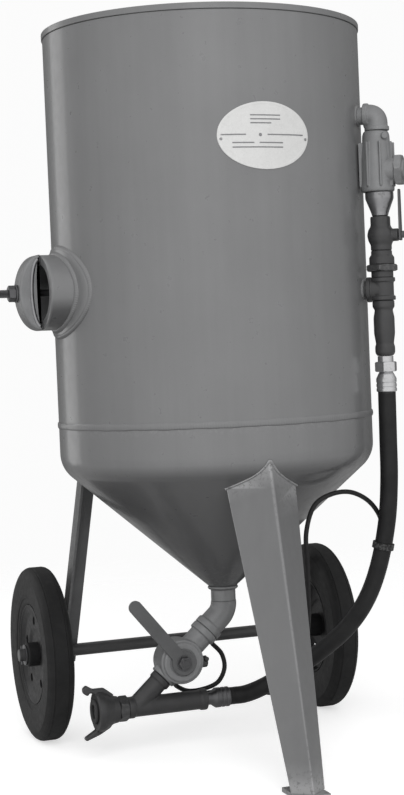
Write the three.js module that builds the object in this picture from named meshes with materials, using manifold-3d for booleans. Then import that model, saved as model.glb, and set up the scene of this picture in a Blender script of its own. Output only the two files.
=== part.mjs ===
// Portable abrasive blast pot on two wheels and a front leg.
// Units are millimetres and +Z is up. The origin is the centre of the front
// foot's sole; the front leg points to -Y and the axle lies along X.
import * as THREE from "three";
import { mergeVertices } from "three/addons/utils/BufferGeometryUtils.js";
import Module from "manifold-3d";

const wasm = await Module();
wasm.setup();

// ---- Driving dimensions ----
const GAP = 0.3; // clearance kept between touching pieces
const SIDES = 36; // facets round the vessel and everything concentric with it
const DEGREE = Math.PI / 180;

const SHELL_RADIUS = 305;
const WALL = 5;
const RIM_TOP = 1398;
const SEAM_Z = 647;
const KNUCKLE_Z = 592;
const KNUCKLE_RADIUS = 60;
const OUTLET_RADIUS = 24.6;
const CONE_BOTTOM_Z = 317;

const FOOT_X = -7;
const FOOT_RADIUS = 415;
const AXLE_Y = 267;
const AXLE_Z = 176;
const AXLE_RADIUS = 12.5;
const WHEEL_X = 305;
const TYRE_RADIUS = 176;
const TYRE_WIDTH = 55;
const RIM_RADIUS = 100.6;

const HANDWAY_Z = 901.5;
const HANDWAY_FACE = 342;
const HANDWAY_HALF_WIDTH = 98;
const HANDWAY_HALF_HEIGHT = 71;
const HANDWAY_RING = 20;
const CRAB_REACH = 42;

const PIPING_AZIMUTH = 54 * DEGREE;
const PIPING_RADIUS = 342;
const BRANCH_Z = 884;
const VENT_Z = 1214;
const PIPE_RADIUS = 16.7;

const ELBOW_Z = 270;
const DROP_ANGLE = 42 * DEGREE;
const VALVE_DISTANCE = 132;
const RUN_Z = 100;
const HOSE_DIAMETER = 34;
const LINE_DIAMETER = 9;

// ---- Finishes ----
const paint = new THREE.MeshStandardMaterial({ color: "#7c7f81", roughness: 0.38, metalness: 0.1 });
const castPaint = new THREE.MeshStandardMaterial({ color: "#74777a", roughness: 0.55, metalness: 0.3 });
const steel = new THREE.MeshStandardMaterial({ color: "#9a9b9c", roughness: 0.4, metalness: 0.9 });
const chrome = new THREE.MeshStandardMaterial({ color: "#d0d2d4", roughness: 0.15, metalness: 1 });
const castIron = new THREE.MeshStandardMaterial({ color: "#5b5c5d", roughness: 0.7, metalness: 0.6 });
const rubber = new THREE.MeshStandardMaterial({ color: "#222324", roughness: 0.8, metalness: 0 });
const label = new THREE.MeshStandardMaterial({ color: "#e9e9e7", roughness: 0.35, metalness: 0.2 });

// The vessel's own axis is the Z axis of this group.
const assembly = new THREE.Group();
const pot = new THREE.Group();
pot.position.set(-FOOT_X, FOOT_RADIUS, 0);
assembly.add(pot);

// ---- Geometry helpers ----
function signedVolume(geometry) {
  const position = geometry.attributes.position;
  const corner = [new THREE.Vector3(), new THREE.Vector3(), new THREE.Vector3()];
  let volume = 0;
  for (let i = 0; i < geometry.index.count; i += 3) {
    corner.forEach((c, k) => c.fromBufferAttribute(position, geometry.index.getX(i + k)));
    volume += corner[0].dot(corner[1].clone().cross(corner[2])) / 6;
  }
  return volume;
}

// Keeps only positions, shares coincident corners and turns the faces outward.
function closed(source) {
  const plain = source.clone();
  plain.deleteAttribute("normal");
  plain.deleteAttribute("uv");
  const merged = mergeVertices(plain, 1e-3);
  const index = [];
  for (let i = 0; i < merged.index.count; i += 3) {
    const face = [0, 1, 2].map((k) => merged.index.getX(i + k));
    if (new Set(face).size === 3) {
      index.push(...face);
    }
  }
  merged.setIndex(index);
  if (signedVolume(merged) < 0) {
    merged.setIndex(index.reverse());
  }
  return merged;
}

function toSolid(geometry) {
  const merged = closed(geometry);
  return new wasm.Manifold(new wasm.Mesh({
    numProp: 3,
    vertProperties: new Float32Array(merged.attributes.position.array),
    triVerts: new Uint32Array(merged.index.array),
  }));
}

function toGeometry(solid) {
  const mesh = solid.getMesh();
  const geometry = new THREE.BufferGeometry();
  geometry.setAttribute("position", new THREE.BufferAttribute(mesh.vertProperties, 3));
  geometry.setIndex(new THREE.BufferAttribute(mesh.triVerts, 1));
  return geometry;
}

function join(first, ...others) {
  return toGeometry(others.reduce((sum, g) => sum.add(toSolid(g)), toSolid(first)));
}

function cut(first, ...tools) {
  return toGeometry(tools.reduce((rest, g) => rest.subtract(toSolid(g)), toSolid(first)));
}

function overlap(first, second) {
  return toGeometry(toSolid(first).intersect(toSolid(second)));
}

// Turns a profile of [radius, height] points about Z. A profile that does not
// start on the axis is closed back to its first point.
function turned(profile, sides = 20) {
  const points = profile.map(([r, z]) => new THREE.Vector2(r, z));
  if (profile[0][0] > 0) {
    points.push(points[0].clone());
  }
  return new THREE.LatheGeometry(points, sides).rotateX(Math.PI / 2);
}

function ring(inner, outer, low, high, sides = 20) {
  return turned([[inner, low], [outer, low], [outer, high], [inner, high]], sides);
}

// A cylinder along Z from low to high.
function post(radius, low, high, sides = 16) {
  const height = high - low;
  return new THREE.CylinderGeometry(radius, radius, height, sides)
    .rotateX(Math.PI / 2)
    .translate(0, 0, low + height / 2);
}

function block(x0, x1, y0, y1, z0, z1) {
  return new THREE.BoxGeometry(x1 - x0, y1 - y0, z1 - z0)
    .translate((x0 + x1) / 2, (y0 + y1) / 2, (z0 + z1) / 2);
}

function plate(shape, low, high, curveSegments = 12) {
  return new THREE.ExtrudeGeometry(shape, { depth: high - low, bevelEnabled: false, curveSegments })
    .translate(0, 0, low);
}

function outline(points) {
  return new THREE.Shape(points.map(([x, y]) => new THREE.Vector2(x, y)));
}

function oval(halfWidth, halfHeight, holeWidth = 0, holeHeight = 0) {
  const shape = new THREE.Shape().absellipse(0, 0, halfWidth, halfHeight, 0, 2 * Math.PI);
  if (holeWidth > 0) {
    shape.holes.push(new THREE.Path().absellipse(0, 0, holeWidth, holeHeight, 0, 2 * Math.PI, true));
  }
  return shape;
}

// A round tube along a curve; an inner radius of zero gives a solid rod.
function tube(curve, outer, inner, steps, sides = 16) {
  const shape = oval(outer, outer, inner, inner);
  return new THREE.ExtrudeGeometry(shape, {
    extrudePath: curve,
    steps,
    bevelEnabled: false,
    curveSegments: sides,
  });
}

function vector([x, y, z]) {
  return new THREE.Vector3(x, y, z);
}

// Straight legs between the points, with each corner rounded by the radius.
function rounded(points, radius) {
  const path = new THREE.CurvePath();
  const corners = points.map(vector);
  let start = corners[0];
  for (let i = 1; i < corners.length - 1; i += 1) {
    const back = corners[i - 1].clone().sub(corners[i]).setLength(radius).add(corners[i]);
    const ahead = corners[i + 1].clone().sub(corners[i]).setLength(radius).add(corners[i]);
    path.add(new THREE.LineCurve3(start, back));
    path.add(new THREE.QuadraticBezierCurve3(back, corners[i], ahead));
    start = ahead;
  }
  path.add(new THREE.LineCurve3(start, corners[corners.length - 1]));
  return path;
}

// Lays a Z-pointing geometry along another direction, starting at a point.
function aimed(geometry, origin, direction) {
  const turn = new THREE.Quaternion().setFromUnitVectors(
    new THREE.Vector3(0, 0, 1), vector(direction).normalize());
  return geometry.applyQuaternion(turn).translate(...origin);
}

function add(parent, name, geometry, material) {
  const mesh = new THREE.Mesh(closed(geometry), material);
  mesh.name = name;
  parent.add(mesh);
  return mesh;
}

// ---- Vessel ----
// Knuckle centre, and the angle at which the cone leaves the knuckle.
const knuckleCentre = SHELL_RADIUS - KNUCKLE_RADIUS;
const coneAngle = (() => {
  const across = knuckleCentre - OUTLET_RADIUS;
  const up = KNUCKLE_Z - CONE_BOTTOM_Z;
  return Math.atan2(up, across) - Math.asin(KNUCKLE_RADIUS / Math.hypot(across, up));
})();

// Outside of the bottom head, moved outward by an offset, from its straight
// flange down to the outlet.
function headOutline(offset, top) {
  const points = [[SHELL_RADIUS + offset, top]];
  const sweep = Math.PI / 2 - coneAngle;
  const steps = 4;
  for (let i = 0; i <= steps; i += 1) {
    const a = (sweep * i) / steps;
    const r = KNUCKLE_RADIUS + offset;
    points.push([knuckleCentre + r * Math.cos(a), KNUCKLE_Z - r * Math.sin(a)]);
  }
  const z = CONE_BOTTOM_Z - offset / Math.cos(coneAngle);
  points.push([OUTLET_RADIUS, z]);
  return points;
}

// Everything inside the vessel's outer skin, for fitting pieces onto it.
function vesselEnvelope(clearance) {
  const skin = headOutline(clearance, RIM_TOP);
  return turned([[0, RIM_TOP], ...skin, [0, skin[skin.length - 1][1]]], SIDES);
}

function radial(geometry, azimuth, z) {
  return geometry.rotateX(Math.PI / 2).rotateZ(azimuth).translate(0, 0, z);
}

// An oval prism along X, reaching from the axis out through the -X wall.
function sideOval(halfWidth, halfHeight, near, far) {
  return plate(oval(halfWidth, halfHeight), near, far, 20)
    .rotateX(Math.PI / 2)
    .rotateZ(-Math.PI / 2)
    .translate(0, 0, HANDWAY_Z);
}

function buildVessel() {
  const inner = SHELL_RADIUS - WALL;
  const beadHigh = SEAM_Z + 7;
  const beadLow = SEAM_Z - 5;
  const shell = turned([
    [inner, SEAM_Z + GAP], [SHELL_RADIUS + GAP, SEAM_Z + GAP], [SHELL_RADIUS + GAP, beadLow],
    [SHELL_RADIUS + 2, beadLow], [SHELL_RADIUS + 2.6, SEAM_Z], [SHELL_RADIUS + 2, SEAM_Z + 5],
    [SHELL_RADIUS, beadHigh], [SHELL_RADIUS, RIM_TOP - 12], [inner, RIM_TOP - 12],
  ], SIDES);
  const handway = sideOval(HANDWAY_HALF_WIDTH + GAP, HANDWAY_HALF_HEIGHT + GAP, 200, 330);
  const branch = radial(post(PIPE_RADIUS + GAP, 250, 330), PIPING_AZIMUTH, BRANCH_Z);
  const vent = radial(post(PIPE_RADIUS + GAP, 250, 330), PIPING_AZIMUTH, VENT_Z);
  add(pot, "tank_shell", cut(shell, handway, branch, vent), paint);

  add(pot, "rim_ring", turned([
    [inner, RIM_TOP - 12 + GAP], [SHELL_RADIUS + 2, RIM_TOP - 12 + GAP],
    [SHELL_RADIUS + 2, RIM_TOP - 2], [SHELL_RADIUS + 1, RIM_TOP], [inner, RIM_TOP],
  ], SIDES), paint);

  const outside = headOutline(0, SEAM_Z);
  const inside = headOutline(-WALL, SEAM_Z).reverse();
  inside[0][0] = OUTLET_RADIUS - WALL;
  add(pot, "bottom_head", turned([...outside, ...inside], SIDES), paint);
  add(pot, "outlet_nipple", ring(18, 24.1, ELBOW_Z + 20 + GAP, CONE_BOTTOM_Z - GAP), castPaint);
}

// ---- Dished top with its fill port and pop-up valve ----
const DISH_FLANGE_TOP = RIM_TOP - 14;
const DISH_KNUCKLE_Z = 1350;
const DISH_KNUCKLE_RADIUS = 40;
const DISH_SLOPE = 20 * DEGREE;
const FILL_RADIUS = 54;
const POPUP_SEAT_Z = 1212;

function dishOutline(offset) {
  const flange = SHELL_RADIUS - WALL - GAP - WALL;
  const centre = flange - DISH_KNUCKLE_RADIUS;
  const r = DISH_KNUCKLE_RADIUS + offset;
  const points = [[flange + offset, DISH_FLANGE_TOP]];
  const sweep = Math.PI / 2 - DISH_SLOPE;
  const steps = 3;
  for (let i = 0; i <= steps; i += 1) {
    const a = (sweep * i) / steps;
    points.push([centre + r * Math.cos(a), DISH_KNUCKLE_Z - r * Math.sin(a)]);
  }
  const [lastR, lastZ] = points[points.length - 1];
  points.push([FILL_RADIUS, lastZ - (lastR - FILL_RADIUS) * Math.tan(DISH_SLOPE)]);
  return points;
}

function buildTop() {
  add(pot, "top_head", turned([...dishOutline(0), ...dishOutline(WALL).reverse()], SIDES), paint);
  const seatOuter = FILL_RADIUS - GAP;
  add(pot, "fill_seat", turned([
    [34, POPUP_SEAT_Z + 12], [seatOuter, POPUP_SEAT_Z + 12], [seatOuter, POPUP_SEAT_Z + 34],
    [46, POPUP_SEAT_Z + 34], [34, POPUP_SEAT_Z + 22],
  ], 24), steel);
  add(pot, "popup_gasket", ring(34, 48, POPUP_SEAT_Z, POPUP_SEAT_Z + 12 - GAP, 24), rubber);
  const coneFoot = POPUP_SEAT_Z - 40;
  add(pot, "popup_valve", turned([
    [0, coneFoot - 80], [15, coneFoot - 80], [15, coneFoot - 6], [46, coneFoot - 6],
    [46, coneFoot], [25, coneFoot + 24], [0, coneFoot + 27],
  ], 24), castIron);
  const outward = [Math.sin(PIPING_AZIMUTH), -Math.cos(PIPING_AZIMUTH)];
  const inlet = rounded([
    [262 * outward[0], 262 * outward[1], BRANCH_Z], [0, 0, BRANCH_Z], [0, 0, coneFoot - 6 - GAP],
  ], 60);
  add(pot, "riser_pipe", tube(inlet, 21.1, 17.5, 12, 5), steel);
}

// ---- Nameplate ----
function buildNameplate() {
  const azimuth = 1.7 * DEGREE;
  const skin = ring(SHELL_RADIUS + GAP, SHELL_RADIUS + 1.8, 1080, 1240, SIDES * 2);
  const window = plate(oval(88.4, 60.5), 250, 330, 16).rotateX(Math.PI / 2);
  window.rotateZ(azimuth).translate(0, 0, 1161.5);
  add(pot, "nameplate", overlap(skin, window), label);
}

// ---- Handway in the -X side ----
function buildHandway() {
  const w = HANDWAY_HALF_WIDTH;
  const h = HANDWAY_HALF_HEIGHT;
  const innerEnd = 262;
  const neck = cut(sideOval(w, h, innerEnd, HANDWAY_FACE),
    sideOval(w - HANDWAY_RING - 2, h - HANDWAY_RING + 1, innerEnd - 5, HANDWAY_FACE + 5));
  add(pot, "handway_neck", neck, paint);

  const padSkin = ring(SHELL_RADIUS + GAP, SHELL_RADIUS + 6, HANDWAY_Z - 100, HANDWAY_Z + 100, SIDES);
  const pad = overlap(padSkin, sideOval(w + 30, h + 13, 200, 330));
  add(pot, "handway_pad", cut(pad, sideOval(w + GAP, h + GAP, 190, 340)), paint);

  const gasketOuter = innerEnd - GAP;
  const gasket = cut(sideOval(w - 6, h - 6, gasketOuter - 6, gasketOuter),
    sideOval(w - 19, h - 17, gasketOuter - 8, gasketOuter + 2));
  add(pot, "handway_gasket", gasket, rubber);

  const coverOuter = gasketOuter - 6 - GAP;
  add(pot, "handway_cover", sideOval(w - 5, h - 5, coverOuter - 10, coverOuter), castPaint);
  const bolt = post(8, coverOuter + GAP, HANDWAY_FACE + CRAB_REACH + 35, 20);
  add(pot, "handway_bolt", radial(bolt, -Math.PI / 2, HANDWAY_Z), steel);

  // The crab: an arched bar across the ring, drilled for the bolt.
  const arch = new THREE.Shape();
  arch.moveTo(h, 0);
  arch.absellipse(0, 0, h, CRAB_REACH, 0, Math.PI);
  arch.lineTo(-(h - 15), 0);
  arch.lineTo(-(h - 19), 9);
  arch.lineTo(h - 19, 9);
  arch.lineTo(h - 15, 0);
  const bar = plate(arch, -25, 25, 14)
    .rotateY(-Math.PI / 2)
    .rotateZ(Math.PI / 2)
    .translate(-HANDWAY_FACE - GAP, 0, HANDWAY_Z);
  const hole = radial(post(8 + GAP, 300, 450, 20), -Math.PI / 2, HANDWAY_Z);
  add(pot, "handway_crab", cut(bar, hole), castPaint);

  const washerIn = HANDWAY_FACE + GAP + CRAB_REACH + GAP;
  const nut = join(ring(8 + GAP, 17, washerIn, washerIn + 3, 20),
    hexNut(8 + GAP, 27, washerIn + 3, washerIn + 16));
  add(pot, "handway_nut", radial(nut, -Math.PI / 2, HANDWAY_Z), steel);
}

// A hexagonal nut along Z, given across its flats.
function hexNut(hole, acrossFlats, low, high) {
  const shape = new THREE.Shape();
  for (let i = 0; i < 6; i += 1) {
    const a = (i * Math.PI) / 3;
    const r = acrossFlats / Math.sqrt(3);
    shape[i === 0 ? "moveTo" : "lineTo"](r * Math.cos(a), r * Math.sin(a));
  }
  if (hole > 0) {
    shape.holes.push(new THREE.Path().absarc(0, 0, hole, 0, 2 * Math.PI, true));
  }
  return plate(shape, low, high, 8);
}

// ---- Front leg: a tapered bent plate with its ridge to the front ----
function buildFrontLeg() {
  const topZ = 640;
  const footTop = 8;
  const depthShare = 0.92; // of the half width, so that the flanks stay flat
  const edge = 0.14;
  const section = outline([
    [0, 0], [1, 1], [1 - edge, 1], [0, 0.22], [edge - 1, 1], [-1, 1],
  ]);
  const leg = plate(section, footTop + GAP, topZ);
  const position = leg.attributes.position;
  for (let i = 0; i < position.count; i += 1) {
    const z = position.getZ(i);
    const halfWidth = 32 + 0.07 * z;
    const ridge = -455 + 0.26 * z;
    const depth = depthShare * halfWidth;
    position.setXY(i, FOOT_X + position.getX(i) * halfWidth, ridge + position.getY(i) * depth);
  }
  add(pot, "front_leg", cut(leg, vesselEnvelope(GAP)), paint);
  const halfLength = 42;
  const halfWidth = 30;
  const foot = block(FOOT_X - halfWidth, FOOT_X + halfWidth,
    -FOOT_RADIUS - halfLength, -FOOT_RADIUS + halfLength, 0, footTop);
  add(pot, "foot_plate", foot, paint);
}

// ---- Rear legs: angle irons from the knuckle to the axle ----
function buildRearLegs() {
  const size = 36;
  const sheet = 5;
  const section = outline([
    [-size / 2, -size / 2], [-size / 2 + sheet, -size / 2], [-size / 2 + sheet, size / 2 - sheet],
    [size / 2, size / 2 - sheet], [size / 2, size / 2], [-size / 2, size / 2],
  ]);
  for (const [side, word] of [[-1, "left"], [1, "right"]]) {
    const foot = vector([side * 249, AXLE_Y + 2, AXLE_Z - 26]);
    const top = vector([side * 192, 207, 622]);
    const along = top.clone().sub(foot);
    const iron = plate(section, 0, along.length());
    iron.scale(side === -1 ? 1 : -1, 1, 1);
    const leg = aimed(iron, foot.toArray(), along.toArray());
    const axleHole = post(AXLE_RADIUS + GAP, -400, 400, 24).rotateY(Math.PI / 2)
      .translate(0, AXLE_Y, AXLE_Z);
    add(pot, `rear_leg_${word}`, cut(leg, vesselEnvelope(GAP), axleHole), paint);
  }
}

// ---- Axle and wheels ----
function buildWheels() {
  const pinX = WHEEL_X + 41;
  const halfAxle = WHEEL_X + 47;
  const axle = post(AXLE_RADIUS, -halfAxle, halfAxle, 20).rotateY(Math.PI / 2);
  const pinHole = (side) => post(2.7, -20, 20, 8).translate(side * pinX, 0, 0);
  const drilled = cut(axle, pinHole(-1), pinHole(1));
  add(pot, "axle", drilled.translate(0, AXLE_Y, AXLE_Z), paint);

  for (const [side, word] of [[-1, "left"], [1, "right"]]) {
    const wheel = new THREE.Group();
    wheel.position.set(side * WHEEL_X, AXLE_Y, AXLE_Z);
    wheel.rotation.y = (side * Math.PI) / 2;
    pot.add(wheel);
    const half = TYRE_WIDTH / 2;
    const bead = RIM_RADIUS + GAP;
    add(wheel, `tyre_${word}`, turned([
      [bead, -half + 8], [125, -half], [160, -half], [172, -half + 7], [TYRE_RADIUS, -half + 16],
      [TYRE_RADIUS, half - 16], [172, half - 7], [160, half], [125, half], [bead, half - 8],
    ], 28), rubber);

    const disc = turned([
      [22, 4], [46, 4], [56, 9], [82, 9], [96, 2], [96, -21], [RIM_RADIUS, -21],
      [RIM_RADIUS, 21], [96, 21], [82, 13], [54, 13], [44, 8], [22, 8],
    ], 28);
    const holes = [];
    for (let i = 0; i < 5; i += 1) {
      const a = (i * 2 * Math.PI) / 5;
      holes.push(post(9, -5, 25, 8).translate(68 * Math.cos(a), 68 * Math.sin(a), 0));
    }
    const hub = ring(AXLE_RADIUS + 0.4, 24.3, -32, 32, 16);
    add(wheel, `wheel_disc_${word}`, join(cut(disc, ...holes), hub), castPaint);
    add(wheel, `axle_washer_${word}`, ring(AXLE_RADIUS + 0.4, 21, 32 + GAP, 35.5, 16), steel);
    add(wheel, `cotter_pin_${word}`, post(2.2, -19, 19, 8)
      .rotateY(Math.PI / 2).translate(0, 0, pinX - WHEEL_X), steel);
  }
}

// ---- Push handle on the back ----
function buildHandle() {
  const reach = 395;
  const spread = 150;
  const z = 1180;
  const path = rounded([
    [-spread, 240, z], [-spread, reach, z + 20], [spread, reach, z + 20], [spread, 240, z],
  ], 45);
  add(pot, "rear_handle", cut(tube(path, 13.5, 0, 20, 5), vesselEnvelope(GAP)), paint);
}

// ---- Air piping on the right of the front ----
// Inside this group the stack stands on the Z axis and -Y points away from
// the vessel.
function buildPiping() {
  const side = new THREE.Group();
  side.rotation.z = PIPING_AZIMUTH;
  pot.add(side);
  const stack = new THREE.Group();
  stack.position.set(0, -PIPING_RADIUS, 0);
  side.add(stack);

  const inward = (radius, near, far, z) => post(radius, near, far).rotateX(-Math.PI / 2)
    .translate(0, 0, z);
  const wallDistance = PIPING_RADIUS - 288;

  // Vent: nipple through the shell, elbow, relay valve.
  const elbow = rounded([[0, 24, VENT_Z], [0, 0, VENT_Z], [0, 0, 1184 + GAP]], 14);
  const vent = join(tube(elbow, 22, 0, 6, 8), inward(PIPE_RADIUS, 20, wallDistance, VENT_Z));
  add(stack, "vent_elbow", vent, castPaint);
  const relay = [
    [0, 1068 + GAP], [29, 1068 + GAP], [30, 1074], [28, 1086], [27, 1130], [25, 1150], [24, 1176],
    [21, 1184], [0, 1184],
  ];
  const ribs = [];
  for (let i = 0; i < 8; i += 1) {
    ribs.push(block(-1.6, 1.6, -32, -20, 1078, 1162).rotateZ((i + 0.5) * Math.PI / 4));
  }
  const port = post(24, 0, 33).rotateX(Math.PI / 2).translate(0, 0, 1108);
  const boss = post(6, 0, 30, 12).rotateX(Math.PI / 2).rotateZ(-50 * DEGREE).translate(0, 0, 1172);
  add(stack, "relay_body", join(turned(relay, 16), ...ribs, port, boss), castPaint);
  add(stack, "relay_side_cap", hexNut(0, 54, 33 + GAP, 52).rotateX(Math.PI / 2)
    .translate(0, 0, 1108), castPaint);

  // Feed: reducer, choke valve, union, tee.
  add(stack, "reducer", turned([
    [0, 1022 + GAP], [15, 1022 + GAP], [17, 1030], [27, 1056], [27, 1068], [0, 1068],
  ], 16), chrome);
  const choke = turned([
    [0, 957 + GAP], [20, 957 + GAP], [20, 968], [24, 976], [26, 986], [24, 996], [19, 1004],
    [19, 1022], [0, 1022],
  ], 16);
  const stemHousing = post(12, 0, 34, 12).rotateX(Math.PI / 2).translate(0, 0, 986);
  add(stack, "choke_body", join(choke, stemHousing), castPaint);
  const handle = outline([[-9, -11], [9, -11], [9, 12], [6, 86], [-6, 86], [-9, 12]]);
  const lever = join(post(5, 34 + GAP, 36, 12), plate(handle, 36, 40), hexNut(0, 13, 40, 46));
  add(stack, "choke_lever", lever.rotateX(Math.PI / 2).translate(0, 0, 986), steel);
  add(stack, "union_upper", turned([
    [13, 931 + GAP], [24, 931 + GAP], [24, 944], [20, 950], [20, 957], [13, 957],
  ], 16), castPaint);
  const unionNut = join(hexNut(13, 54, 918, 931), ring(13, 21, 906 + GAP, 918, 20));
  add(stack, "union_nut", unionNut, castPaint);
  const upright = join(post(24, 898, 906), post(24, 863, 871), post(21, 863, 906),
    inward(21, 0, 30, BRANCH_Z), inward(24, 22, 30, BRANCH_Z));
  add(stack, "tee", cut(upright, post(13, 850, 920, 12), inward(13, 0, 40, BRANCH_Z)), castPaint);
  add(stack, "branch_nipple", aimedTube(PIPE_RADIUS, 12.5, 30 + GAP, 79, BRANCH_Z), castPaint);

  // Check valve and the hose end.
  add(stack, "check_valve", turned([
    [0, 757], [15, 757], [19, 763], [19, 775], [17, 780], [20, 800], [20, 830], [17, 845],
    [21, 850], [21, 863 - GAP], [0, 863 - GAP],
  ], 16), castPaint);
  add(stack, "hose_nut", join(hexNut(0, 38, 727, 746), post(15, 746, 757 - GAP, 24)), chrome);
  add(stack, "hose_ferrule", turned([
    [0, 689], [18.5, 689], [19.5, 692], [19.5, 716], [16, 722], [13, 727 - GAP], [0, 727 - GAP],
  ], 16), chrome);
}

function aimedTube(outer, inner, near, far, z) {
  return ring(inner, outer, near, far, 16).rotateX(-Math.PI / 2).translate(0, 0, z);
}

// ---- Bottom outlet: elbow, metering valve, wye and hose coupling ----
const drop = [-Math.cos(DROP_ANGLE), 0, -Math.sin(DROP_ANGLE)];
const dropPoint = (distance) => [drop[0] * distance, 0, ELBOW_Z + drop[2] * distance];
const WYE_X = -(ELBOW_Z - RUN_Z) / Math.tan(DROP_ANGLE);
const VALVE = dropPoint(VALVE_DISTANCE);
const ELBOW_LEG = 52;
const VALVE_END = 178;
// The valve's small air line leaves and rejoins it on two angled bosses.
const LOOP_TOP_AT = 58;
const LOOP_FOOT_AT = 166;
const LOOP_AIM = [-drop[2] * 0.79, 0.61, drop[0] * 0.79];

function sloping(geometry) {
  return aimed(geometry, [0, 0, ELBOW_Z], drop);
}

// A piece across the pipe, along -Y through the valve's centre.
function crosswise(geometry) {
  return geometry.rotateX(Math.PI / 2).translate(...VALVE);
}

function buildOutlet() {
  const bend = rounded([[0, 0, ELBOW_Z + 20], [0, 0, ELBOW_Z], dropPoint(ELBOW_LEG)], 18);
  const elbow = join(tube(bend, 25, 0, 8, 8), sloping(post(28, 38, ELBOW_LEG)));
  add(pot, "elbow_45", elbow, castPaint);

  const body = join(sloping(post(24, ELBOW_LEG + GAP, VALVE_END)),
    sloping(post(28, ELBOW_LEG + GAP, ELBOW_LEG + 14)),
    crosswise(post(43, -28, 28, 24)), sloping(post(26, VALVE_END - 12, VALVE_END)),
    aimed(post(5.5, 0, 40, 8), dropPoint(LOOP_TOP_AT), LOOP_AIM),
    aimed(post(5.5, 0, 44, 8), dropPoint(LOOP_FOOT_AT), LOOP_AIM));
  const bore = sloping(post(15, 0, 300, 12));
  const cavity = crosswise(post(24 + GAP, -22, 40, 24));
  add(pot, "valve_body", cut(body, bore, cavity), castPaint);

  const plug = cut(crosswise(post(24, -21.7, 27.7, 24)),
    aimed(post(15, -60, 60, 12), VALVE, [-drop[2], 0, drop[0]]));
  add(pot, "valve_plug", join(plug, crosswise(post(8, 27, 40, 20))), steel);
  add(pot, "valve_cover", crosswise(ring(8 + GAP, 38, 28 + GAP, 33, 24)), castPaint);

  // Lever: a flat bar with rounded ends on the plug's stem.
  const length = 161;
  const width = 13;
  const shape = new THREE.Shape();
  shape.absarc(0, 0, 24, Math.PI / 6, 2 * Math.PI - Math.PI / 6);
  shape.lineTo(length - width, -width);
  shape.absarc(length - width, 0, width, -Math.PI / 2, Math.PI / 2);
  shape.holes.push(new THREE.Path().absarc(0, 0, 8 + GAP, 0, 2 * Math.PI, true));
  const lever = plate(shape, 33 + GAP, 39, 10).rotateZ(128.7 * DEGREE);
  add(pot, "metering_lever", crosswise(lever), paint);
  add(pot, "lever_nut", crosswise(hexNut(0, 22, 40 + GAP, 48)), steel);

  const knob = hexNut(0, 20, 43 + GAP, 58).rotateY(Math.PI / 2);
  add(pot, "cleanout_plug", knob.translate(VALVE[0], VALVE[1], VALVE[2] - 8), castIron);

  const runEnd = WYE_X - 16;
  const along = (geometry) => geometry.rotateY(-Math.PI / 2).translate(0, 0, RUN_Z);
  const wye = join(along(post(19, 45, -runEnd)), sloping(post(19, VALVE_END + GAP, 254)),
    along(post(21, 45, 58)), aimed(post(5.5, 0, 42, 8), [-60, 0, RUN_Z], [0.5, 0.866, 0]));
  const wyeBore = along(post(13, 30, 260, 12));
  add(pot, "wye", cut(wye, wyeBore, sloping(post(13, 150, 254, 12))), castIron);

  const start = -runEnd + GAP;
  add(pot, "coupling_collar", along(hexNut(12, 44, start, start + 18)), castIron);
  const face = 268;
  const couplingBody = along(turned([
    [12, start + 18 + GAP], [25, start + 18 + GAP], [27, start + 30], [38, face - 14], [39, face - 10],
    [39, face], [12, face],
  ], 20));
  const thick = 8;
  const upperClaw = plate(outline([
    [232, 30], [250, 44], [272, 44], [284, 52], [292, 46], [290, 36], [282, 32], [280, 38],
    [268, 34], [256, 30],
  ]), -thick, thick);
  const lowerClaw = plate(outline([
    [234, -26], [256, -30], [268, -36], [291, -48], [290, -54], [262, -44],
  ]), -thick, thick);
  const claws = [upperClaw, lowerClaw].map((claw) => claw.scale(-1, 1, 1)
    .rotateX(Math.PI / 2).translate(0, 0, RUN_Z));
  add(pot, "hose_coupling", join(couplingBody, ...claws), castIron);
  add(pot, "coupling_gasket", along(ring(14, 24, face + GAP, face + 5)), rubber);
}

// ---- Hoses, with their ends met face to face ----
const stackX = PIPING_RADIUS * Math.sin(PIPING_AZIMUTH);
const stackY = -PIPING_RADIUS * Math.cos(PIPING_AZIMUTH);
const HOSE_ROUTE = [
  [stackX, stackY, 689 - GAP], [276, -200.5, 600], [275, -199.5, 520], [269, -195, 440],
  [252, -183, 350], [231, -168, 289], [202, -147, 240], [150, -108, 185], [95, -67, 143],
  [56, -33, 115], [32, -10, 102.5], [14, 0, RUN_Z], [2 + 2 * GAP, 0, RUN_Z],
];
const LINE_ROUTE = [
  [-38.6, 37, 100], [-27, 52, 100], [0, 58, 100], [25, 50, 102], [52, 18, 104], [84, -40, 104],
  [97, -105, 128], [94, -175, 190], [88, -222, 270], [82, -243, 370], [82, -245, 440],
  [104, -236, 486], [146, -220, 503], [190, -206, 503], [232, -190, 484], [258, -178, 458],
  [271, -170, 432], [274, -167.8, 413.6], [271.8, -166.3, 401.9],
];
const LOOP_ROUTE = [
  [-21.6, 24.9, 207.2], [-15, 32.5, 199.9], [4, 36, 178], [8, 34, 150], [-8, 31, 124], [-45, 30, 113],
  [-72, 36, 113], [-92, 36.3, 124.1], [-99.7, 27.4, 132.6],
];
// The band that ties the control line's end to the hose.
const BAND_POINT = [261.8, -189.9, 394.3];
const BAND_ANCHOR = [270.7, -165.5, 395.8];
const BAND_AXIS = [0.181, -0.127, 0.975];

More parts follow.
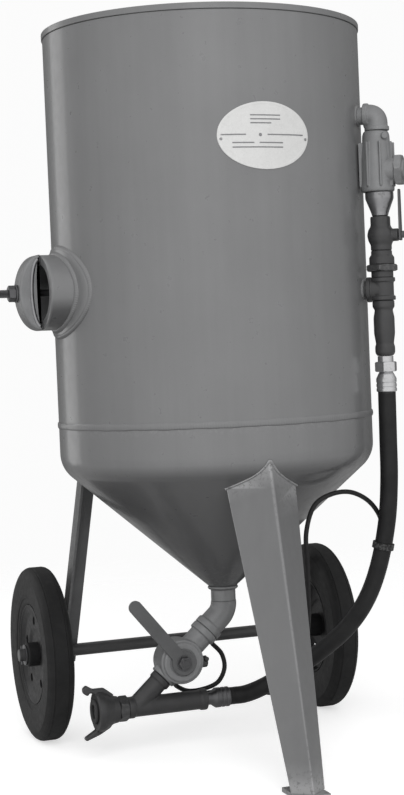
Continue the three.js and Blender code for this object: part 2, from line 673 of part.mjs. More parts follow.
function buildHoses() {
  const hose = new THREE.CatmullRomCurve3(HOSE_ROUTE.map(vector), false, "centripetal");
  add(pot, "pusher_hose", tube(hose, HOSE_DIAMETER / 2, 0, 24, 5), rubber);
  const line = new THREE.CatmullRomCurve3(LINE_ROUTE.map(vector), false, "centripetal");
  add(pot, "control_line", tube(line, LINE_DIAMETER / 2, 0, 36, 4), rubber);
  const loop = new THREE.CatmullRomCurve3(LOOP_ROUTE.map(vector), false, "centripetal");
  add(pot, "valve_line", tube(loop, LINE_DIAMETER / 2, 0, 16, 4), rubber);

  const band = join(aimed(ring(17.9, 21, -6, 6, 24), BAND_POINT, BAND_AXIS),
    aimed(post(7, -6, 6, 16), BAND_ANCHOR, BAND_AXIS));
  add(pot, "hose_band", band, steel);

  const along = (geometry) => geometry.rotateY(-Math.PI / 2).translate(0, 0, RUN_Z);
  add(pot, "lower_ferrule", along(turned([
    [0, -2], [18.5, -2], [19.5, 1], [19.5, 26], [15, 32], [12.5, 45 - GAP], [0, 45 - GAP],
  ], 24)), chrome);
}

buildVessel();
buildTop();
buildNameplate();
buildHandway();
buildFrontLeg();
buildRearLegs();
buildWheels();
buildHandle();
buildPiping();
buildOutlet();
buildHoses();

export default assembly;
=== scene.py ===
"""Looks for the portable abrasive blast pot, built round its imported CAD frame.

Shapes are laid out in millimetres in the vessel's own frame: Z is the vessel's axis, -Y is the front,
and at() turns such a point into the row frame in metres.
"""
from math import asin, atan2, cos, hypot, pi, radians, sin, sqrt, tan

import bmesh
import bpy
import numpy as np
from mathutils import Matrix, Vector


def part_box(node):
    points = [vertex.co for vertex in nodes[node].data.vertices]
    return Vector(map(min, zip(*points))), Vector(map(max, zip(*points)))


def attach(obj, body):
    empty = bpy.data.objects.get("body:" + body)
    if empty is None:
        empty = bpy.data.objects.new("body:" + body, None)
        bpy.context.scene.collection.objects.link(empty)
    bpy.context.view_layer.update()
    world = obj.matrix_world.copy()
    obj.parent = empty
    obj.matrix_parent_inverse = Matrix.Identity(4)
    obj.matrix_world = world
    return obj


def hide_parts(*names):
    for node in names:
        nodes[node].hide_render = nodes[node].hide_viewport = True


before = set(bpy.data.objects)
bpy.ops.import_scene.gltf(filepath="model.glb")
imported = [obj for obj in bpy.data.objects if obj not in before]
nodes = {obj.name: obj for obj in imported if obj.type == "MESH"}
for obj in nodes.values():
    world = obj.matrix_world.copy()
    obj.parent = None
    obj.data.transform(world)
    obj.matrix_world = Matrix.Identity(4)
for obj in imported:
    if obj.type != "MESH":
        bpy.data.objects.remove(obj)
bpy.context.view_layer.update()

# ---- The vessel's frame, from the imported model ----
head_low, head_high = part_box("bottom_head")
AXIS_X = (head_low.x + head_high.x) / 2
AXIS_Y = (head_low.y + head_high.y) / 2
RIM_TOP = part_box("rim_ring")[1].z * 1000

GAP = 0.3
SHELL = 305
WALL = 5
SEAM_Z = 647
KNUCKLE_Z = 592
KNUCKLE = 60
CONE_BOTTOM_Z = 317
OUTLET = 24.6
PIPING_AZIMUTH = radians(54)
PIPING_RADIUS = 342
BRANCH_Z = 884
VENT_Z = 1214
HANDWAY_Z = 901.5
ELBOW_Z = 270
DROP = Vector((-cos(radians(42)), 0, -sin(radians(42))))
VALVE = Vector((0, 0, ELBOW_Z)) + DROP * 132
RUN_Z = 100
WHEEL_X = 305
AXLE_Y = 267
AXLE_Z = 176
SIDES = ((-1, "left"), (1, "right"))


def at(x, y, z):
    """A point of the vessel's frame, in millimetres, as a row-frame point in metres."""
    return Vector((x / 1000 + AXIS_X, y / 1000 + AXIS_Y, z / 1000))


def placed(name, data):
    """A new object in the scene."""
    made = bpy.data.objects.new(name, data)
    bpy.context.scene.collection.objects.link(made)
    return made


# ---- Camera ----
EYE = (-1126.5, -3225.0, 790.7)
HEADING = radians(-21.449)
TILT = radians(-1.809)
ROLL = radians(2.307)
SENSOR = 36
LENS = 79.057811
SIDE_SHIFT = -0.1006289


def camera():
    data = bpy.data.cameras.new("camera")
    eye = placed("camera", data)
    turn = Matrix.Rotation(HEADING, 3, "Z") @ Matrix.Rotation(TILT, 3, "X") @ Matrix.Rotation(ROLL, 3, "Y")
    right, ahead, up = turn.col[0], turn.col[1], turn.col[2]
    basis = Matrix((right, up, -ahead)).transposed()
    eye.matrix_world = Matrix.Translation(at(*EYE)) @ basis.to_4x4()
    data.sensor_width = SENSOR
    data.lens = LENS
    data.shift_x = SIDE_SHIFT
    data.clip_start = 0.05
    data.clip_end = 60
    bpy.context.scene.camera = eye


camera()


# ---- Materials ----
class Look:
    """A procedural material in row-frame metres, with its slot in the record."""

    def __init__(self, name, slot, colour, **sockets):
        self.slot = slot
        self.material = bpy.data.materials.new(name)
        self.material.use_nodes = True
        self.tree = self.material.node_tree
        self.shader = self.tree.nodes["Principled BSDF"]
        self.coords = self.tree.nodes.new("ShaderNodeTexCoord").outputs["Object"]
        self.colour = self.constant(colour)
        self.normal = None
        for socket, value in sockets.items():
            self.shader.inputs[socket.replace("_", " ")].default_value = value

    def node(self, kind, **inputs):
        made = self.tree.nodes.new(kind)
        for name, value in inputs.items():
            self.feed(made.inputs[name.replace("_", " ")], value)
        return made

    def feed(self, socket, value):
        if isinstance(value, bpy.types.NodeSocket):
            self.tree.links.new(value, socket)
        else:
            socket.default_value = value

    def constant(self, colour):
        made = self.tree.nodes.new("ShaderNodeRGB")
        made.outputs[0].default_value = (*colour, 1)
        return made.outputs[0]

    def noise(self, scale, detail=3, rough=0.5, stretch=(1, 1, 1), offset=0):
        mapping = self.node("ShaderNodeMapping", Vector=self.coords)
        mapping.inputs["Scale"].default_value = stretch
        mapping.inputs["Location"].default_value = (offset, offset * 0.7, offset * 1.3)
        made = self.node("ShaderNodeTexNoise", Vector=mapping.outputs[0], Scale=scale,
                         Detail=detail, Roughness=rough)
        return made.outputs["Fac"]

    def remap(self, value, low, high, to_low=0.0, to_high=1.0):
        made = self.node("ShaderNodeMapRange", Value=value, From_Min=low, From_Max=high,
                         To_Min=to_low, To_Max=to_high)
        made.clamp = True
        return made.outputs[0]

    def patches(self, low, high, *noise):
        """A mask that is high in patches of noise."""
        return self.remap(self.noise(*noise), low, high)

    def times(self, a, b):
        made = self.tree.nodes.new("ShaderNodeMath")
        made.operation = "MULTIPLY"
        self.feed(made.inputs[0], a)
        self.feed(made.inputs[1], b)
        return made.outputs[0]

    def blend(self, mask, amount, colour):
        """Lays another colour over what is there, by amount where the mask is high."""
        share = self.times(mask, amount)
        made = self.tree.nodes.new("ShaderNodeMix")
        made.data_type = "RGBA"
        self.feed(made.inputs[0], share)
        self.feed(made.inputs[6], self.colour)
        self.feed(made.inputs[7], self.constant(colour))
        self.colour = made.outputs[2]

    def shade(self, value, amount):
        """Multiplies the colour by 1 - amount where value is low, 1 + amount where it is high."""
        level = self.remap(value, 0.3, 0.7, 1 - amount, 1 + amount)
        made = self.node("ShaderNodeVectorMath", Vector=self.colour)
        made.operation = "SCALE"
        self.feed(made.inputs["Scale"], level)
        self.colour = made.outputs[0]

    def bump(self, height, distance, strength):
        made = self.node("ShaderNodeBump", Height=height, Distance=distance, Strength=strength)
        if self.normal is not None:
            self.feed(made.inputs["Normal"], self.normal)
        self.normal = made.outputs[0]

    def surface(self, output):
        return self.tree.nodes.new("ShaderNodeNewGeometry").outputs[output]

    def edges(self, low=0.57, high=0.66):
        """High on convex edges."""
        return self.remap(self.surface("Pointiness"), low, high)

    def crevices(self):
        """High in concave corners, where the looks paint shade."""
        return self.remap(self.surface("Pointiness"), 0.42, 0.48, 1.0, 0.0)

    def undersides(self, low, high):
        """1 where the surface looks down, where the looks paint shade."""
        split = self.node("ShaderNodeSeparateXYZ", Vector=self.surface("Normal"))
        return self.remap(split.outputs["Z"], low, high, 1.0, 0.0)

    def height(self):
        return self.node("ShaderNodeSeparateXYZ", Vector=self.coords).outputs["Z"]

    def done(self, roughness, spread=0.0, scale=60):
        self.feed(self.shader.inputs["Base Color"], self.colour)
        level = roughness
        if spread:
            grain = self.noise(scale, 4, 0.6)
            level = self.remap(grain, 0.3, 0.7, roughness - spread, roughness + spread)
        self.feed(self.shader.inputs["Roughness"], level)
        if self.normal is not None:
            self.feed(self.shader.inputs["Normal"], self.normal)
        return self


def painted(name, colour, chips, underside_shade, gloss, rub_and_ridge_highlight=(0.57, 0.66, 0.5)):
    look = Look(name, "vessel_paint", colour, Coat_Weight=0.35, Coat_Roughness=0.12)
    look.shade(look.noise(4.5, 4, 0.55), 0.05)
    look.shade(look.noise(42, 4, 0.6, (1, 1, 0.05)), 0.035)
    look.shade(look.noise(900, 2, 0.5), 0.03)
    dust = look.times(look.remap(look.height(), 0.45, 0.0), look.patches(0.40, 0.75, 14, 5, 0.65))
    look.blend(dust, 0.12, (0.24, 0.235, 0.225))
    # painted shade: faces that look down, such as the cone, are darkened
    look.blend(look.undersides(-0.62, -0.25), underside_shade, (0.030, 0.030, 0.031))
    # painted shade in concave corners
    look.blend(look.crevices(), 0.55, (0.04, 0.04, 0.041))
    # lighter edge band: chipped wear on most paints; with the frame paint's settings it is a painted
    # highlight along the front leg's ridge
    low, high, cover = rub_and_ridge_highlight
    worn = look.times(look.edges(low, high), look.patches(cover, cover + 0.12, 160, 5, 0.7))
    look.blend(worn, chips, (0.42, 0.42, 0.425))
    specks = look.patches(0.735, 0.76, 230, 3, 0.6, (1, 1, 1), 3)
    look.blend(specks, 0.7, (0.06, 0.058, 0.056))
    look.bump(look.noise(7, 2, 0.4), 0.004, 0.05)
    look.bump(look.noise(420, 2, 0.5), 0.0005, 0.10)
    return look.done(gloss, 0.06)


def cast(name, slot, colour, chips, gloss, **sockets):
    look = Look(name, slot, colour, **sockets)
    look.shade(look.noise(30, 4, 0.6), 0.10)
    look.shade(look.noise(700, 3, 0.6), 0.08)
    # painted shade in concave corners
    look.blend(look.crevices(), 0.6, (0.025, 0.025, 0.025))
    # painted shade: faces that look down are darkened
    look.blend(look.undersides(-0.9, 0.0), 0.25, (0.03, 0.03, 0.03))
    worn = look.times(look.edges(), look.patches(0.42, 0.6, 220, 5, 0.7))
    look.blend(worn, chips, (0.5, 0.5, 0.5))
    look.bump(look.noise(520, 4, 0.6), 0.0012, 0.22)
    look.bump(look.noise(90, 2, 0.5), 0.002, 0.08)
    return look.done(gloss, 0.08, 120)


def fitting_paint(name, colour, chips, gloss, metallic):
    return cast(name, "fitting_paint", colour, chips, gloss, Metallic=metallic,
                Coat_Weight=0.25, Coat_Roughness=0.2)


def metal(name, slot, colour, gloss, stain, grain):
    look = Look(name, slot, colour, Metallic=1.0)
    look.shade(look.noise(60, 4, 0.6), 0.08)
    # painted shade in concave corners
    look.blend(look.crevices(), 0.5, (0.08, 0.08, 0.08))
    look.blend(look.patches(0.55, 0.72, 120, 5, 0.7), stain, (0.10, 0.095, 0.09))
    look.bump(look.noise(1400, 2, 0.5, (1, 1, 6)), 0.0003, grain)
    return look.done(gloss, 0.05, 300)


def rubber(name, slot, colour, gloss, dust, mould):
    look = Look(name, slot, colour, Specular_IOR_Level=0.3)
    look.shade(look.noise(35, 4, 0.6), 0.15)
    look.blend(look.patches(0.42, 0.68, 18, 5, 0.65), dust, (0.11, 0.108, 0.104))
    scuff = look.times(look.edges(0.56, 0.64), look.patches(0.45, 0.6, 240, 4, 0.7))
    look.blend(scuff, 0.35, (0.16, 0.16, 0.16))
    look.bump(look.noise(850, 3, 0.6), 0.0006, mould)
    return look.done(gloss, 0.07, 90)


def enamel():
    look = Look("label_enamel", "label_plate", (0.505, 0.505, 0.50), Coat_Weight=0.4, Coat_Roughness=0.08)
    look.shade(look.noise(60, 4, 0.6), 0.03)
    look.blend(look.patches(0.58, 0.75, 90, 5, 0.7), 0.25, (0.40, 0.40, 0.39))
    look.bump(look.noise(300, 2, 0.5), 0.0004, 0.06)
    return look.done(0.28, 0.05, 80)


def label_ink():
    look = Look("label_ink", "label_plate", (0.16, 0.16, 0.165))
    look.shade(look.noise(400, 3, 0.6), 0.2)
    return look.done(0.4, 0.05, 200)


LOOKS = {
    # the fourth number of a painted look is how strongly painted shade darkens faces that look down
    "vessel": painted("vessel_paint", (0.145, 0.146, 0.148), 0.5, 0.62, 0.33),
    # the frame's edge settings paint a highlight along the front leg's ridge
    "frame": painted("frame_paint", (0.125, 0.126, 0.128), 0.42, 0.35, 0.40, (0.515, 0.56, 0.36)),
    "rail": painted("rail_paint", (0.034, 0.034, 0.035), 0.7, 0.35, 0.44),
    "stack": fitting_paint("stack_paint", (0.046, 0.046, 0.047), 0.7, 0.36, 0.3),
    "pipe": fitting_paint("pipe_paint", (0.094, 0.095, 0.097), 0.6, 0.38, 0.25),
    "fitting": fitting_paint("fitting_paint", (0.175, 0.177, 0.180), 0.6, 0.40, 0.15),
    "iron": cast("cast_iron", "cast_iron", (0.055, 0.055, 0.056), 0.55, 0.36, Metallic=0.5),
    "rim": cast("wheel_paint", "fitting_paint", (0.012, 0.012, 0.0125), 0.4, 0.46, Metallic=0.1,
                Specular_IOR_Level=0.3),
    "chrome": metal("bright_metal", "bright_metal", (0.72, 0.72, 0.73), 0.17, 0.3, 0.05),
    "steel": metal("bare_steel", "bare_steel", (0.40, 0.40, 0.41), 0.34, 0.55, 0.15),
    "bolt": metal("dark_bolt", "bare_steel", (0.16, 0.16, 0.165), 0.36, 0.5, 0.12),
    "tyre": rubber("tyre_rubber", "tyre_rubber", (0.0095, 0.0095, 0.0098), 0.62, 0.05, 0.25),
    "hose": rubber("hose_rubber", "hose_rubber", (0.009, 0.009, 0.0094), 0.45, 0.05, 0.2),
    "seal": rubber("seal_rubber", "tyre_rubber", (0.03, 0.03, 0.031), 0.6, 0.1, 0.1),
    "label": enamel(),
    "ink": label_ink(),
}


# ---- Frames that shapes are laid out in ----
def shift(x, y, z):
    return Matrix.Translation((x, y, z))


def spin(angle, axis):
    return Matrix.Rotation(angle, 4, axis)


def facing(origin, direction, along=None):
    """A frame at origin with its Z along direction, in the vessel's frame."""
    z = Vector(direction).normalized()
    if along:
        x = Vector(along)
    else:
        x = Vector((0, 0, 1)) if abs(z.z) < 0.9 else Vector((1, 0, 0))
    x = (x - z * x.dot(z)).normalized()
    return Matrix.Translation(origin) @ Matrix((x, z.cross(x), z)).transposed().to_4x4()


HERE = Matrix.Identity(4)
STACK = spin(PIPING_AZIMUTH, "Z") @ shift(0, -PIPING_RADIUS, 0)
SLOPE = facing((0, 0, ELBOW_Z), DROP, (0, 1, 0))
CROSS = shift(*VALVE) @ spin(pi / 2, "X")
ALONG = shift(0, 0, RUN_Z) @ spin(-pi / 2, "Y")


def outward(z):
    return STACK @ shift(0, 0, z) @ spin(pi / 2, "X")


def inward(z):
    return STACK @ shift(0, 0, z) @ spin(-pi / 2, "X")


# ---- Mesh helpers ----
def around(steps):
    """The cosine and sine of evenly spaced angles, once round."""
    return [(cos(2 * pi * k / steps), sin(2 * pi * k / steps)) for k in range(steps)]


def rounded(a, p, b, steps):
    """A curve from a to b that is drawn toward the corner p."""
    ts = [k / steps for k in range(steps + 1)]
    return [a * (1 - t) ** 2 + p * 2 * t * (1 - t) + b * t ** 2 for t in ts]


def soft(profile, radius, closed=False, steps=3):
    """Rounds the corners of a line of 2-D points."""
    points = [Vector(p) for p in profile]
    out = []
    count = len(points)
    for i, p in enumerate(points):
        if not closed and i in (0, count - 1):
            out.append(p)
            continue
        back = points[i - 1] - p
        ahead = points[(i + 1) % count] - p
        r = min(radius, back.length * 0.45, ahead.length * 0.45)
        if r < 0.02 or back.normalized().dot(ahead.normalized()) < -0.995:
            out.append(p)
        else:
            out += rounded(p + back.normalized() * r, p, p + ahead.normalized() * r, steps)
    return [tuple(p) for p in out]


def bend(points, radius, steps=12):
    """Straight legs with each corner rounded."""
    points = [Vector(p) for p in points]
    line = [points[0]]
    for before, p, after in zip(points, points[1:], points[2:]):
        a = p + (before - p).normalized() * radius
        b = p + (after - p).normalized() * radius
        line += rounded(a, p, b, steps)
    line.append(points[-1])
    return line


def grid(rings, closed_ends=False, caps=True):
    """Faces over rings of equal length."""
    verts = [tuple(p) for ring in rings for p in ring]
    n = len(rings[0])
    faces = []
    rows = len(rings) if closed_ends else len(rings) - 1
    for i in range(rows):
        j = (i + 1) % len(rings)
        for k in range(n):
            m = (k + 1) % n
            faces.append((i * n + k, i * n + m, j * n + m, j * n + k))
    if caps and not closed_ends:
        faces.append(tuple(range(n))[::-1])
        faces.append(tuple(range((len(rings) - 1) * n, len(rings) * n)))
    return verts, faces


def turned(profile, radius=1.0, steps=64, sweep=3):
    """A profile of (radius, height) turned about Z; one that starts off the axis is a closed ring."""
    is_ring = profile[0][0] > 0
    line = soft(profile, radius, closed=is_ring, steps=sweep)
    rings = [[(max(r, 0.01) * c, max(r, 0.01) * s, z) for c, s in around(steps)] for r, z in line]
    return grid(rings, closed_ends=is_ring)


def post(radius, low, high, bevel=0.6, steps=40):
    return turned([(0, low), (radius, low), (radius, high), (0, high)], bevel, steps)


def prism(outline, low, high, corner=0.0, chamfer=0.8):
    """A plate with rounded corners and a small chamfer on both faces."""
    line = soft(outline, corner, closed=True, steps=4) if corner else [tuple(p) for p in outline]
    count = len(line)
    area = sum(line[i - 1][0] * line[i][1] - line[i][0] * line[i - 1][1] for i in range(count))
    if area < 0:
        line = line[::-1]

    def inset(by):
        out = []
        for i, point in enumerate(line):
            before, p, after = Vector(line[i - 1]), Vector(point), Vector(line[(i + 1) % count])
            one = (p - before).normalized()
            two = (after - p).normalized()
            side = Vector((-one.y, one.x))
            mid = Vector((-one.y - two.y, one.x + two.x))
            mid = mid.normalized() if mid.length > 1e-6 else side
            out.append(p + mid * by * min(1 / max(mid.dot(side), 0.4), 2))
        return out
    c = min(chamfer, (high - low) * 0.4)
    part = c * 0.3
    levels = [(c, low), (part, low + part), (0, low + c), (0, high - c), (part, high - part), (c, high)]
    return grid([[(q.x, q.y, z) for q in inset(by)] for by, z in levels])


def nut(flats, low, high, steps=60):
    """A hexagon with turned-off ends, whose chamfers dip furthest at its six corners."""
    apothem = flats / 2
    corner = flats / sqrt(3)
    drop = (corner - apothem) * 0.58
    reach = [apothem / cos((2 * pi * k / steps) % (pi / 3) - pi / 6) for k in range(steps)]
    spokes = list(zip(reach, around(steps)))

    def ring(limit, z, fall=0.0):
        out = []
        for r, (c, s) in spokes:
            share = (r - apothem) / (corner - apothem)
            out.append((min(r, limit) * c, min(r, limit) * s, z + fall * share))
        return out
    return grid([
        ring(apothem * 0.965, low), ring(apothem * 0.985, low + 0.3), ring(flats, low + 0.3, drop),
        ring(flats, high - 0.3, -drop), ring(apothem * 0.985, high - 0.3), ring(apothem * 0.965, high),
    ])


def swept(path, section, closed=False, scale=None, normals=None):
    """A 2-D section carried along a path of points; normals fix its Y axis."""
    points = [Vector(p) for p in path]
    n = len(points)
    rings = []
    last = None
    for i, p in enumerate(points):
        if closed:
            t = points[(i + 1) % n] - points[i - 1]
        else:
            t = points[min(i + 1, n - 1)] - points[max(i - 1, 0)]
        t.normalize()
        if normals is not None:
            y = Vector(normals[i])
        elif last is None:
            y = Vector((0, 0, 1)) if abs(t.z) < 0.9 else Vector((0, 1, 0))
        else:
            y = last
        y = (y - t * y.dot(t)).normalized()
        last = y
        x = y.cross(t)
        wide, tall = scale(i) if scale else (1, 1)
        rings.append([p + x * u * wide + y * v * tall for u, v in section])
    return grid(rings, closed_ends=closed)


def circle(radius, steps=32):
    return [(radius * c, radius * s) for c, s in around(steps)]


def evenly(path, step, closed=False):
    """The path again, with points every step."""
    points = [Vector(p) for p in path]
    if closed:
        points.append(points[0])
    lengths = [0.0]
    for a, b in zip(points, points[1:]):
        lengths.append(lengths[-1] + (b - a).length)
    count = max(int(lengths[-1] / step), 3)
    out = []
    j = 0
    for i in range(count + (0 if closed else 1)):
        d = lengths[-1] * i / count
        while j < len(points) - 2 and lengths[j + 1] < d:
            j += 1
        span = max(lengths[j + 1] - lengths[j], 1e-9)
        out.append(points[j].lerp(points[j + 1], min(max((d - lengths[j]) / span, 0), 1)))
    return out


def weld(path, normal_at, width, height, closed, pitch):
    """A weld bead with its ripples, lying on the surface whose normal is given."""
    line = evenly(path, pitch / 4, closed)
    normals = [normal_at(p) for p in line]

    def ripple(i):
        phase = (i % 4) / 4
        wander = sin(i * 0.071) * 0.06 + sin(i * 0.19 + 1.3) * 0.04
        return (1 + wander, (1 - 0.22 * phase) * (1 + wander))
    return swept(line, [(width * u, height * v) for u, v in circle(1, 10)], closed, ripple, normals)


def merged(*shapes):
    verts = []
    faces = []
    for v, f in shapes:
        base = len(verts)
        verts += v
        faces += [tuple(base + k for k in face) for face in f]
    return verts, faces


def moved(shape, matrix):
    verts, faces = shape
    return [tuple(matrix @ Vector(v)) for v in verts], faces


def bare(name, shape, matrix=HERE):
    """A mesh object in row metres, with its faces turned outward."""
    verts, faces = shape
    mesh = bpy.data.meshes.new(name)
    mesh.from_pydata([at(*(matrix @ Vector(v))) for v in verts], [], faces)
    mesh.validate()
    made = placed(name, mesh)
    work = bmesh.new()
    work.from_mesh(mesh)
    bmesh.ops.remove_doubles(work, verts=work.verts, dist=2e-6)
    bmesh.ops.recalc_face_normals(work, faces=work.faces)
    work.to_mesh(mesh)
    work.free()
    return made


def settle(made):
    """Applies the modifiers."""
    bpy.context.view_layer.update()
    graph = bpy.context.evaluated_depsgraph_get()
    mesh = bpy.data.meshes.new_from_object(made.evaluated_get(graph))
    made.modifiers.clear()
    made.data = mesh
    return made


def carve(made, *cutters):
    """Cuts the other shapes away, one by one."""
    for cutter in cutters:
        step = made.modifiers.new("cut", "BOOLEAN")
        step.operation = "DIFFERENCE"
        step.solver = "EXACT"
        step.object = cutter
        settle(made)
        bpy.data.objects.remove(cutter)
    return made


def as_cast(made, voxel, smoothing):
    """Runs overlapping shapes together into one casting with soft inner corners."""
    step = made.modifiers.new("skin", "REMESH")
    step.mode = "VOXEL"
    step.voxel_size = voxel / 1000
    ease = made.modifiers.new("ease", "SMOOTH")
    ease.factor = 0.5
    ease.iterations = smoothing
    return settle(made)


def finished(made, look, angle):
    """The look, smooth but for creases where faces meet at more than angle degrees."""
    mesh = made.data
    mesh.materials.clear()
    mesh.materials.append(LOOKS[look].material)
    for polygon in mesh.polygons:
        polygon.use_smooth = True
    mesh.set_sharp_from_angle(angle=radians(angle))


def even_normals(made):
    even = made.modifiers.new("normals", "WEIGHTED_NORMAL")
    even.keep_sharp = True


def piece(made, look, covers=(), body="pot", angle=35, weighted=True):
    """Finish, body and the CAD nodes that this piece stands for."""
    finished(made, look, angle)
    if weighted:
        even_normals(made)
    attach(made, body)
    if covers:
        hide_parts(covers)
    return made


def keep(name, look, bevel=0.0, angle=30):
    """A CAD node that stays, with a softer edge and its finish."""
    made = nodes[name]
    finished(made, look, angle)
    if bevel:
        edge = made.modifiers.new("bevel", "BEVEL")
        edge.width = bevel / 1000
        edge.segments = 2
        edge.limit_method = "ANGLE"
        edge.angle_limit = radians(angle)
        even_normals(made)


# ---- Hoses and lines ----
def route(points):
    """The same smooth curve as the CAD's, as cubic pieces: start, two handles, end."""
    p = [Vector(q) for q in points]
    n = len(p)
    pieces = []
    for i in range(n - 1):
        before = p[i - 1] if i else p[0] * 2 - p[1]
        after = p[i + 2] if i + 2 < n else p[-1] * 2 - p[-2]
        a = (p[i] - before).length ** 0.5
        b = (p[i + 1] - p[i]).length ** 0.5
        c = (after - p[i + 1]).length ** 0.5
        one = ((p[i] - before) / a - (p[i + 1] - before) / (a + b) + (p[i + 1] - p[i]) / b) * b
        two = ((p[i + 1] - p[i]) / b - (after - p[i]) / (b + c) + (after - p[i + 1]) / c) * b
        pieces.append((p[i], p[i] + one / 3, p[i + 1] - two / 3, p[i + 1]))
    return pieces


def halved(cubic):
    a, b, c, d = cubic
    ab, bc, cd = (a + b) / 2, (b + c) / 2, (c + d) / 2
    abc, bcd = (ab + bc) / 2, (bc + cd) / 2
    mid = (abc + bcd) / 2
    return [(a, ab, abc, mid), (mid, bcd, cd, d)]


def cord(name, points, diameter, covers):
    cubics = [half for cubic in route(points) for half in halved(cubic)]
    data = bpy.data.curves.new(name, "CURVE")
    data.dimensions = "3D"
    line = data.splines.new("BEZIER")
    line.bezier_points.add(len(cubics))
    for i, knot in enumerate(line.bezier_points):
        knot.handle_left_type = "FREE"
        knot.handle_right_type = "FREE"
        here = cubics[i][0] if i < len(cubics) else cubics[-1][3]
        knot.co = at(*here)
        knot.handle_left = at(*(cubics[i - 1][2] if i else here))
        knot.handle_right = at(*(cubics[i][1] if i < len(cubics) else here))
    data.bevel_depth = diameter / 2000
    data.bevel_resolution = 7
    data.resolution_u = 10
    data.use_fill_caps = True
    made = placed(name, data)
    data.materials.append(LOOKS["hose"].material)
    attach(made, "pot")
    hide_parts(covers)
    at(*points[0])
    return made


STACK_X = PIPING_RADIUS * sin(PIPING_AZIMUTH)
STACK_Y = -PIPING_RADIUS * cos(PIPING_AZIMUTH)
HOSE_ROUTE = [
    (STACK_X, STACK_Y, 688.7), (276, -200.5, 600), (275, -199.5, 520), (269, -195, 440), (252, -183, 350),
    (231, -168, 289), (202, -147, 240), (150, -108, 185), (95, -67, 143), (56, -33, 115), (32, -10, 102.5),
    (14, 0, RUN_Z), (2.6, 0, RUN_Z),
]
LINE_ROUTE = [
    (-38.6, 37, 100), (-27, 52, 100), (0, 58, 100), (25, 50, 102), (52, 18, 104), (84, -40, 104),
    (97, -105, 128), (94, -175, 190), (88, -222, 270), (82, -243, 370), (82, -245, 440), (104, -236, 486),
    (146, -220, 503), (190, -206, 503), (232, -190, 484), (258, -178, 458), (271, -170, 432),
    (274, -167.8, 413.6), (271.8, -166.3, 401.9),
]
LOOP_ROUTE = [
    (-21.6, 24.9, 207.2), (-15, 32.5, 199.9), (4, 36, 178), (8, 34, 150), (-8, 31, 124), (-45, 30, 113),
    (-72, 36, 113), (-92, 36.3, 124.1), (-99.7, 27.4, 132.6),
]
cord("blast_hose", HOSE_ROUTE, 34, "pusher_hose")
cord("control_hose", LINE_ROUTE, 9, "control_line")
cord("valve_hose", LOOP_ROUTE, 9, "valve_line")


# ---- Vessel ----
KNUCKLE_CENTRE = SHELL - KNUCKLE
REACH = KNUCKLE_CENTRE - OUTLET
CONE_RISE = KNUCKLE_Z - CONE_BOTTOM_Z
CONE_ANGLE = atan2(CONE_RISE, REACH) - asin(KNUCKLE / hypot(REACH, CONE_RISE))
RIM_BOTTOM = RIM_TOP - 12
UP = Vector((0, 0, 1))


def head_line(offset, top, steps=12):
    """The bottom head's outside, moved outward: straight flange, knuckle, cone."""
    points = [(SHELL + offset, top)]
    r = KNUCKLE + offset
    for i in range(steps + 1):
        a = (pi / 2 - CONE_ANGLE) * i / steps
        points.append((KNUCKLE_CENTRE + r * cos(a), KNUCKLE_Z - r * sin(a)))
    points.append((OUTLET, CONE_BOTTOM_Z - offset / cos(CONE_ANGLE)))
    return points


def envelope():
    """The vessel's outside and the usual gap, as a shape to cut with."""
    skin = head_line(GAP, RIM_TOP)
    return bare("envelope", turned([(0, RIM_TOP), *skin, (0, skin[-1][1])], 0, 180))


def skin_radius(z):
    """The vessel's outer radius at a height."""
    if z >= KNUCKLE_Z:
        return SHELL
    line = head_line(0, SEAM_Z)[1:]
    for (r0, z0), (r1, z1) in zip(line, line[1:]):
        if z1 <= z <= z0:
            return r0 + (r1 - r0) * (z0 - z) / max(z0 - z1, 1e-9)
    return 0.0


def skin_normal(p):
    """The vessel's outward normal at a point near its skin."""
    slope = (skin_radius(p.z + 2) - skin_radius(p.z - 2)) / 4
    flat = Vector((p.x, p.y, 0)).normalized()
    return (flat - Vector((0, 0, slope))).normalized()


def bead(name, path, normal_at, width, height, look="vessel", closed=True, pitch=4.2):
    piece(bare(name, weld(path, normal_at, width, height, closed, pitch)), look, angle=60)


def flared(rise):
    """The normal of a bead round the vessel's axis that leans up or down."""
    return lambda p: (Vector((p.x, p.y, 0)).normalized() + UP * rise).normalized()


def boss_weld(name, look, centre, radius, way, turn=HERE):
    """The bead round a bar that enters the shell along Y, from the front (-1) or the back (1)."""
    ring = []
    for c, s in around(48):
        x = centre.x + radius * c
        ring.append(turn @ Vector((x, way * sqrt(SHELL ** 2 - x * x), centre.z + radius * s)))
    middle = turn @ centre
    bead(name, ring, lambda p: (skin_normal(p) + (p - middle).normalized()).normalized(), 4.0, 3.0, look)


def hoop(radius, z, count):
    return [(radius * c, radius * s, z) for c, s in around(count)]


def side_ring(x, half_y, half_z):
    """An upright oval across the handway's axis."""
    return [(-x, half_y * c, HANDWAY_Z + half_z * s) for c, s in around(96)]


def port(z):
    """The cut for a pipe of the air stack through the shell."""
    matrix = shift(0, 0, z) @ spin(PIPING_AZIMUTH, "Z") @ spin(pi / 2, "X")
    return bare("cut", moved(post(17, 250, 330, 0, 48), matrix))


